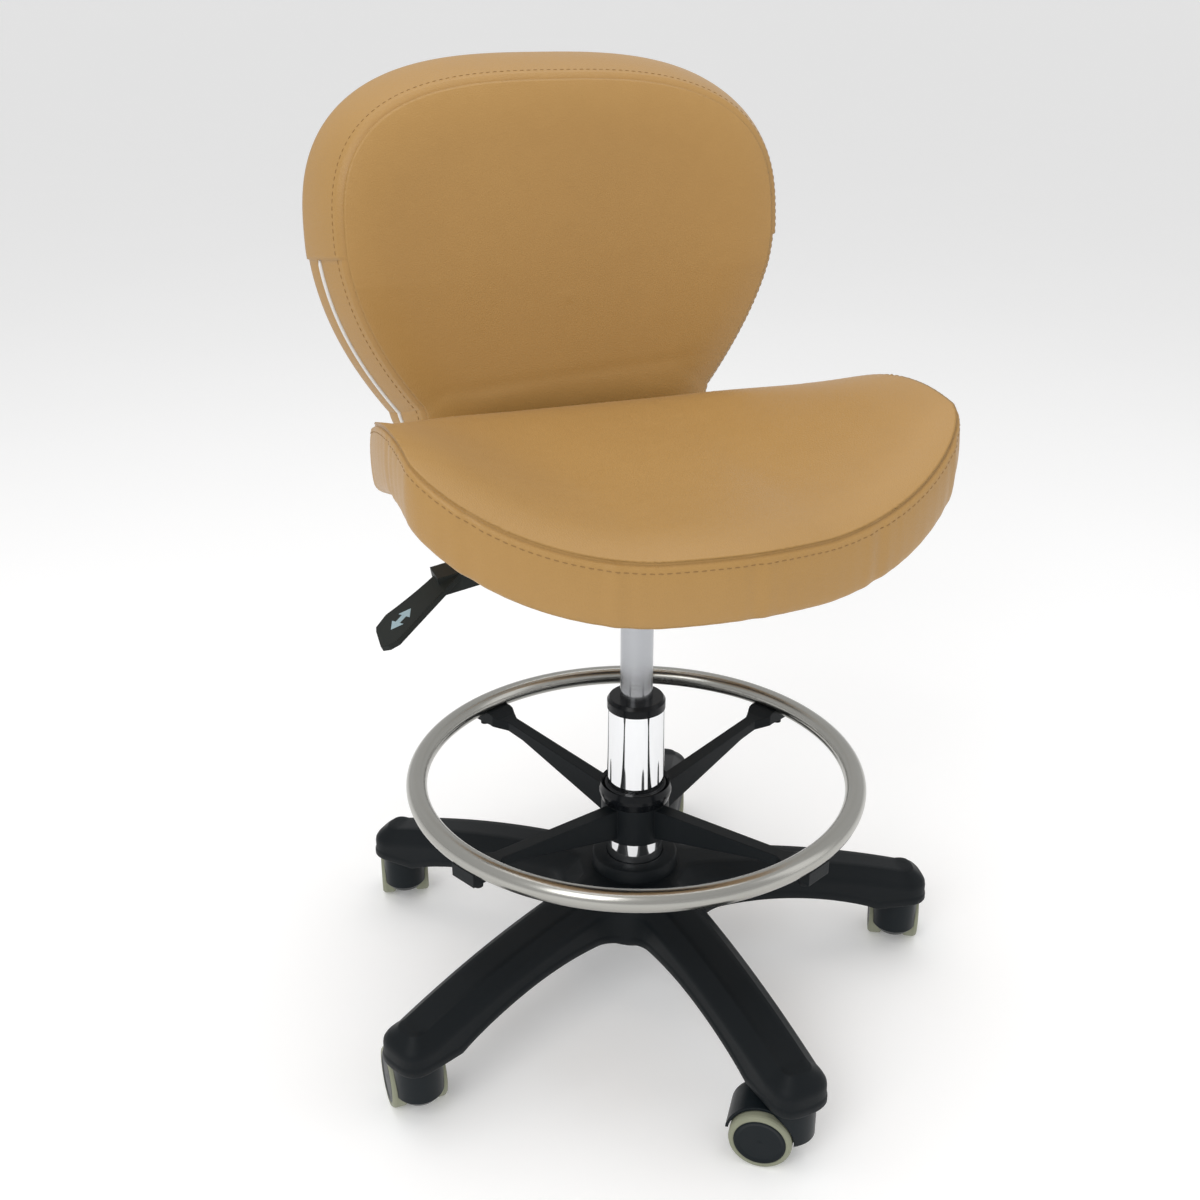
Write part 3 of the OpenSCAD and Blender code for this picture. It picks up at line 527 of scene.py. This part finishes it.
seat_rings = []
TOP_RINGS = 34
for j in range(TOP_RINGS):
    share = (j + 0.6) / (TOP_RINGS + 0.6)
    share = 1 - (1 - share) ** 1.45
    flat = seat_centre + share * (seat_loop - seat_centre)
    inset = np.linalg.norm(seat_loop - flat, axis=1)
    near = np.clip(inset / CROWN_WIDTH, 0.0, 1.0)
    crown = SEAT_CROWN * (1 - (1 - near) ** 2.6)
    ripple = GATHER_DEPTH * gather * np.exp(-inset / SEAM_FADE)
    loose = [0.0011 * noise.noise(Vector((x * 9.0, y * 9.0, 0.3))) for x, y in flat]
    lifted = seat_rise(flat[:, 0], flat[:, 1]) + rear_lift(flat[:, 1])
    z = SEAT_SEAM + lifted + crown + ripple + np.array(loose) * near
    seat_rings.append([tuple(p) for p in np.column_stack([flat, z])])
for inset, lift in ((0.0020, 0.0002), (0.0016, -0.0009), (0.0024, -0.0018), (0.0010, -0.0024)):
    seat_rings.append(seat_ring(inset, lift))
for drop, bulge, wave in ((0.0036, 0.0004, 1.0), (0.0060, 0.0010, 0.5), (0.0075, 0.0010, 0.6),
                          (0.0100, 0.0015, 0.4), (0.0150, 0.0020, 0.2), (0.0210, 0.0023, 0.1),
                          (0.0280, 0.0023, 0.0), (0.0350, 0.0020, 0.0), (0.0410, 0.0014, 0.0),
                          (0.0450, 0.0006, 0.0), (0.0470, -0.0006, 0.0), (0.0484, -0.0026, 0.0),
                          (0.0490, -0.0055, 0.0), (0.0490, -0.0230, 0.0), (0.0482, -0.0245, 0.0),
                          (0.0470, -0.0255, 0.0)):
    flat = seat_loop + seat_out * (bulge + 0.00022 * wave * gather + 0.0004 * soft)[:, None]
    z = SEAT_SEAM - drop + seat_rise(*(seat_loop + seat_out * min(bulge, 0.0)).T)
    z += rear_lift(seat_loop[:, 1]) * (1 - drop / BAND)
    seat_rings.append([tuple(p) for p in np.column_stack([flat, z])])
top_z = SEAT_SEAM + rear_lift(seat_centre[1]) + SEAT_CROWN + 0.0011 * noise.noise(Vector((0.0, -0.27, 0.3)))
seat_cover = new_piece("seat_cushion_cover",
                       *sewn_rings(seat_rings, (*seat_centre, top_z), (*seat_centre, SEAT_UNDER + 0.002)),
                       tan_vinyl, "seat", "tan_vinyl")
welded(seat_cover)
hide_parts("seat_cushion")


def stitches(name, path, out, length, gap, thick, body, slot):
    """A row of thread stitches along a closed or open path, half sunk in the cloth."""
    path, out = np.array(path), np.array(out)
    run = np.concatenate([[0.0], np.cumsum(np.linalg.norm(np.diff(path, axis=0), axis=1))])
    count = int(run[-1] // (length + gap))
    parts = []
    for i in range(count):
        centres, ups = [], []
        for share in (0.0, 0.12, 0.35, 0.65, 0.88, 1.0):
            at = i * (length + gap) + share * length
            centres.append([np.interp(at, run, path[:, k]) for k in range(3)])
            ups.append([np.interp(at, run, out[:, k]) for k in range(3)])
        centres, ups = np.array(centres), np.array(ups)
        along = centres[-1] - centres[0]
        along /= np.linalg.norm(along)
        loops = []
        for centre, up, fat in zip(centres, ups, (0.25, 0.8, 1.0, 1.0, 0.8, 0.25)):
            up = up / np.linalg.norm(up)
            across = np.cross(along, up)
            middle = centre + up * thick * 0.5 * (fat - 0.75)
            loops.append([tuple(middle + thick / 2 * fat * (math.cos(a) * across + math.sin(a) * up))
                          for a in (math.pi / 4 * j for j in range(8))])
        parts.append(sewn_rings(loops, tuple(centres[0]), tuple(centres[-1])))
    piece = new_piece(name, *joined(*parts), thread, body, slot)
    return welded(piece, 1e-7)


def band_path(drop, bulge):
    """A path round the seat's boxing band, at a drop below its seam, and its way out."""
    flat = seat_loop + seat_out * (bulge + 0.00012 * gather + 0.0004 * soft)[:, None]
    z = SEAT_SEAM - drop + seat_rise(seat_loop[:, 0], seat_loop[:, 1])
    z += rear_lift(seat_loop[:, 1]) * (1 - drop / BAND)
    path = np.column_stack([flat, z])
    out = np.column_stack([seat_out, np.zeros(SEAT_POINTS)])
    return np.vstack([path, path[:1]]), np.vstack([out, out[:1]])


STITCH = 0.0040
STITCH_GAP = 0.0019
THREAD = 0.0007
stitches("seat_topstitch", *band_path(0.0067, 0.0010), STITCH, STITCH_GAP, THREAD, "seat", "tan_vinyl")


# ---- Backrest cushion ----------------------------------------------------------
# Foam on a plywood board, in the same vinyl: a front panel sewn to a side gusset, a
# cap that wraps the upper half and ends in a hem on each side, and a white piping
# that runs below the hems between the gusset and the rear cover.
BACK_HALF = 0.1940
BACK_WAIST = 0.135
BACK_CROWN = 0.126
BACK_FOOT = -0.035
BACK_HEM = 0.124
BACK_ROUND = 2.9
FLARE = 0.022
GUSSET = 0.056
LEAN = math.radians(5.5)
BACK_REACH = 0.172
SEAT_LINE = 0.517
BACK_TAPER = 0.082
BACK_WING = 0.017
BACK_FLAT = 0.043
WING_SPAN = 0.151
CAP = 0.0018
FOOT_CORNER = 0.026
BACK_CROWNING = 0.0085
PIPING_AT = 0.63


def back_side(s):
    """Half width of the backrest below its widest, at a distance up the lean."""
    return BACK_HALF - BACK_TAPER * ((BACK_WAIST - s) / (BACK_WAIST - BACK_FOOT)) ** 1.83


def on_back(x, n, s):
    """A point in the row frame from across, behind the face, and up the lean."""
    return np.column_stack([x, BACK_REACH + s * math.sin(LEAN) + n * math.cos(LEAN),
                            SEAT_LINE + s * math.cos(LEAN) - n * math.sin(LEAN)])


foot_x = back_side(BACK_FOOT + FOOT_CORNER) - FOOT_CORNER
shape = [(foot_x + FOOT_CORNER * math.cos(a), BACK_FOOT + FOOT_CORNER * (1 + math.sin(a)))
         for a in np.linspace(-math.pi / 2, -0.30, 20)]
shape += [(back_side(s), s) for s in np.linspace(BACK_FOOT + FOOT_CORNER * 1.05, BACK_WAIST, 80)]
shape += [(BACK_HALF * float(swell(np.cos(a), BACK_ROUND)),
           BACK_WAIST + BACK_CROWN * float(swell(np.sin(a), BACK_ROUND)))
          for a in np.linspace(0.002, math.pi / 2, 400)]
right = np.array(shape)
left = np.column_stack([-right[::-1, 0], right[::-1, 1]])
BACK_POINTS = 460
back_loop = evenly(np.vstack([right, left[1:]]), BACK_POINTS)
for hand in (1, -1):
    near = [i for i in range(BACK_POINTS) if back_loop[i, 0] * hand > 0.1]
    above = min((i for i in near if back_loop[i, 1] > BACK_HEM), key=lambda i: back_loop[i, 1])
    below = max((i for i in near if back_loop[i, 1] <= BACK_HEM), key=lambda i: back_loop[i, 1])
    back_loop[above] = hand * back_side(BACK_HEM + 0.0003), BACK_HEM + 0.0003
    back_loop[below] = hand * back_side(BACK_HEM - 0.0003), BACK_HEM - 0.0003
back_out = outward(back_loop)
capped = (back_loop[:, 1] > BACK_HEM).astype(float)
back_centre = np.array([0.0, 0.080])
back_gather = pucker(BACK_POINTS, 140, 1.4)


def forward(x, s):
    """How far the backrest's wings reach forward at a place."""
    wing = np.maximum(0.0, np.abs(x) - BACK_FLAT) / WING_SPAN
    return BACK_WING * wing ** 2 * np.minimum(1.0, np.maximum(0.0, s + 0.040) / 0.140)


def back_ring(out, n):
    """A ring round the backrest, moved out from its outline, at a depth behind the face."""
    flat = back_loop + back_out * np.broadcast_to(out, BACK_POINTS)[:, None]
    reach = forward(back_loop[:, 0], back_loop[:, 1])
    return flat, n - reach


def gusset_bulge(q):
    """How far the gusset stands out from a straight line across its depth."""
    return 0.0026 * math.sin(math.pi * q) ** 0.8


back_rings = []
FACE_RINGS = 34
for j in range(FACE_RINGS):
    share = 1 - (1 - (j + 0.6) / (FACE_RINGS + 0.6)) ** 1.45
    flat = back_centre + share * (back_loop - back_centre)
    inset = np.linalg.norm(back_loop - flat, axis=1)
    near = np.clip(inset / 0.050, 0.0, 1.0)
    crown = BACK_CROWNING * (1 - (1 - near) ** 2.4)
    loose = np.array([0.0014 * noise.noise(Vector((x * 8.0, s * 8.0, 1.3))) for x, s in flat])
    crease = 0.0006 * np.exp(-((flat[:, 1] - 0.012 - 0.06 * flat[:, 0]) / 0.0050) ** 2) * near
    ripple = GATHER_DEPTH * back_gather * np.exp(-inset / SEAM_FADE)
    n = -forward(flat[:, 0], flat[:, 1]) - crown - ripple - loose * near + crease
    back_rings.append(on_back(flat[:, 0], n, flat[:, 1]))
for out, n in ((-0.0016, 0.0004), (-0.0026, 0.0016), (-0.0012, 0.0024)):
    flat, n = back_ring(out, n)
    back_rings.append(on_back(flat[:, 0], n, flat[:, 1]))
for q in (0.07, 0.10, 0.16, 0.24, 0.34, 0.45, 0.56, 0.605, 0.63, 0.655, 0.70, 0.80, 0.90, 0.97):
    bulge = gusset_bulge(q)
    groove = 0.0022 * math.exp(-((q - PIPING_AT) / 0.022) ** 2) * (1 - capped)
    wrap = CAP * capped * min(1.0, q / 0.08)
    wave = 0.00022 * back_gather * math.exp(-q * GUSSET / 0.006)
    flat, n = back_ring(FLARE * q + bulge + wrap - groove + wave, GUSSET * q)
    back_rings.append(on_back(flat[:, 0], n, flat[:, 1]))
for out, n in ((-0.0014, 0.0570), (-0.0030, 0.0595), (-0.0062, 0.0612), (-0.0120, 0.0622)):
    flat, n = back_ring(FLARE + out + CAP * capped, n)
    back_rings.append(on_back(flat[:, 0], n, flat[:, 1]))
for j in range(1, 16):
    share = 1 - j / 16.0
    flat = back_centre + share * (back_loop - back_centre)
    bow = 0.0622 - forward(flat[:, 0], flat[:, 1]) + 0.0016 * (1 - share ** 4)
    back_rings.append(on_back(flat[:, 0], bow, flat[:, 1]))
face_tip = on_back(np.array([0.0]), np.array([-BACK_CROWNING]), np.array([0.080]))[0]
rear_tip = on_back(np.array([0.0]), np.array([0.0638]), np.array([0.080]))[0]
back_cover = new_piece("backrest_cover",
                       *sewn_rings([list(map(tuple, ring)) for ring in back_rings],
                                   tuple(face_tip), tuple(rear_tip)),
                       tan_vinyl, "seat", "tan_vinyl")
welded(back_cover)
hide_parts("back_cushion", "back_rear_panel")


def gusset_path(q, lift, keep):
    """A path along the gusset where keep says so, and its way out."""
    flat, n = back_ring(FLARE * q + gusset_bulge(q) + lift + CAP * capped * min(1.0, q / 0.08), GUSSET * q)
    path = on_back(flat[:, 0], n, flat[:, 1])
    out = on_back(flat[:, 0] + back_out[:, 0], n, flat[:, 1] + back_out[:, 1]) - path
    chosen = np.where(keep)[0]
    breaks = np.where(np.diff(chosen) > 1)[0]
    if len(breaks):
        chosen = np.concatenate([chosen[breaks[0] + 1:], chosen[:breaks[0] + 1]])
    return path[chosen], out[chosen]


stitches("backrest_topstitch_cap", *gusset_path(0.15, 0.0, capped > 0), STITCH, STITCH_GAP, THREAD,
         "seat", "tan_vinyl")
stitches("backrest_topstitch_side", *gusset_path(0.17, 0.0, capped == 0), STITCH, STITCH_GAP, THREAD,
         "seat", "tan_vinyl")


def cordlike(name, path, radius, material, body, slot, sides=12):
    """A round bead along an open path, with rounded ends."""
    path = np.array(path)
    loops = []
    side = None
    for i, point in enumerate(path):
        along = path[min(i + 1, len(path) - 1)] - path[max(i - 1, 0)]
        along /= np.linalg.norm(along)
        if side is None:
            side = np.cross(along, (0.3, 0.2, 0.9))
        side -= along * np.dot(side, along)
        side /= np.linalg.norm(side)
        other = np.cross(along, side)
        fat = radius * (0.55 if i in (0, len(path) - 1) else 1.0)
        loops.append([tuple(point + fat * (math.cos(a) * side + math.sin(a) * other))
                      for a in (2 * math.pi * j / sides for j in range(sides))])
    piece = new_piece(name, *sewn_rings(loops, tuple(path[0]), tuple(path[-1])), material, body, slot)
    return welded(piece, 1e-7)


white_piping, piping_shader, piping_place = finish("white_piping", Specular_IOR_Level=0.5)
fleck = piping_place.grain(700.0, 3.0)
feed(piping_shader, Base_Color=fleck.between((0.62, 0.61, 0.58), (0.80, 0.79, 0.77)),
     Roughness=0.34 + 0.1 * (fleck - 0.5), Normal=bumped(fleck, 0.00005))
cordlike("backrest_piping", gusset_path(PIPING_AT, -0.0004, capped == 0)[0], 0.0019, white_piping,
         "seat", "tan_vinyl")
beech_ply, ply_shader, ply_place = finish("beech_ply", Specular_IOR_Level=0.35)
plies = ply_place.grain(180.0, 4.0, (0.15, 1.0, 4.0))
feed(ply_shader, Base_Color=plies.between((0.42, 0.25, 0.12), (0.62, 0.42, 0.23)),
     Roughness=0.55 + 0.15 * (plies - 0.5), Normal=bumped(plies, 0.0001, 0.0005))
paint(beech_ply, "seat_pan", "back_board")


# ---- Setting --------------------------------------------------------------------
# A pale floor, soft light from both sides and above, and the camera, which
# stands in front of the stool and to the sitter's right.
floor_mesh = bpy.data.meshes.new("floor")
FLOOR = 400.0
floor_mesh.from_pydata([(-FLOOR, -FLOOR, 0), (FLOOR, -FLOOR, 0), (FLOOR, FLOOR, 0), (-FLOOR, FLOOR, 0)],
                       [], [(0, 1, 2, 3)])
floor = bpy.data.objects.new("floor", floor_mesh)
bpy.context.scene.collection.objects.link(floor)
floor_paint, floor_shader, floor_place = finish("pale_floor", Roughness=0.7, Specular_IOR_Level=0.2,
                                                 Emission_Color=(1.0, 1.0, 1.0, 1.0), Emission_Strength=0.14)
feed(floor_shader, Base_Color=floor_place.grain(2.0).between((0.93, 0.93, 0.93), (0.95, 0.95, 0.95)))
floor_mesh.materials.append(floor_paint)

world = bpy.data.worlds.new("studio")
bpy.context.scene.world = world
world.use_nodes = True
world.node_tree.nodes["Background"].inputs["Color"].default_value = (1.0, 1.0, 1.0, 1.0)
world.node_tree.nodes["Background"].inputs["Strength"].default_value = 0.66


def softbox(name, place, aim, width, height, power):
    """A soft rectangular studio light that faces a point."""
    light = bpy.data.lights.new(name, "AREA")
    light.shape = "RECTANGLE"
    light.size, light.size_y, light.energy = width, height, power
    lamp = bpy.data.objects.new(name, light)
    lamp.location = place
    lamp.rotation_euler = (Vector(aim) - Vector(place)).to_track_quat("-Z", "Y").to_euler()
    bpy.context.scene.collection.objects.link(lamp)


softbox("key", (-1.6, -1.5, 2.0), (0, 0, 0.45), 1.2, 1.6, 24)
softbox("fill", (1.8, -1.0, 1.2), (0, 0, 0.45), 1.0, 1.8, 4)
softbox("top", (0.0, 0.2, 2.4), (0, 0, 0.4), 2.0, 1.6, 15)

scene = bpy.context.scene
scene.view_settings.view_transform = "Standard"
lens = bpy.data.cameras.new("camera")
lens.sensor_width = 36.0
lens.lens = 41.83
camera = bpy.data.objects.new("camera", lens)
camera.location = (-0.3935, -0.9899, 0.8401)
camera.rotation_euler = (math.radians(66.55), 0.0, math.radians(-20.0))
scene.collection.objects.link(camera)
scene.camera = camera
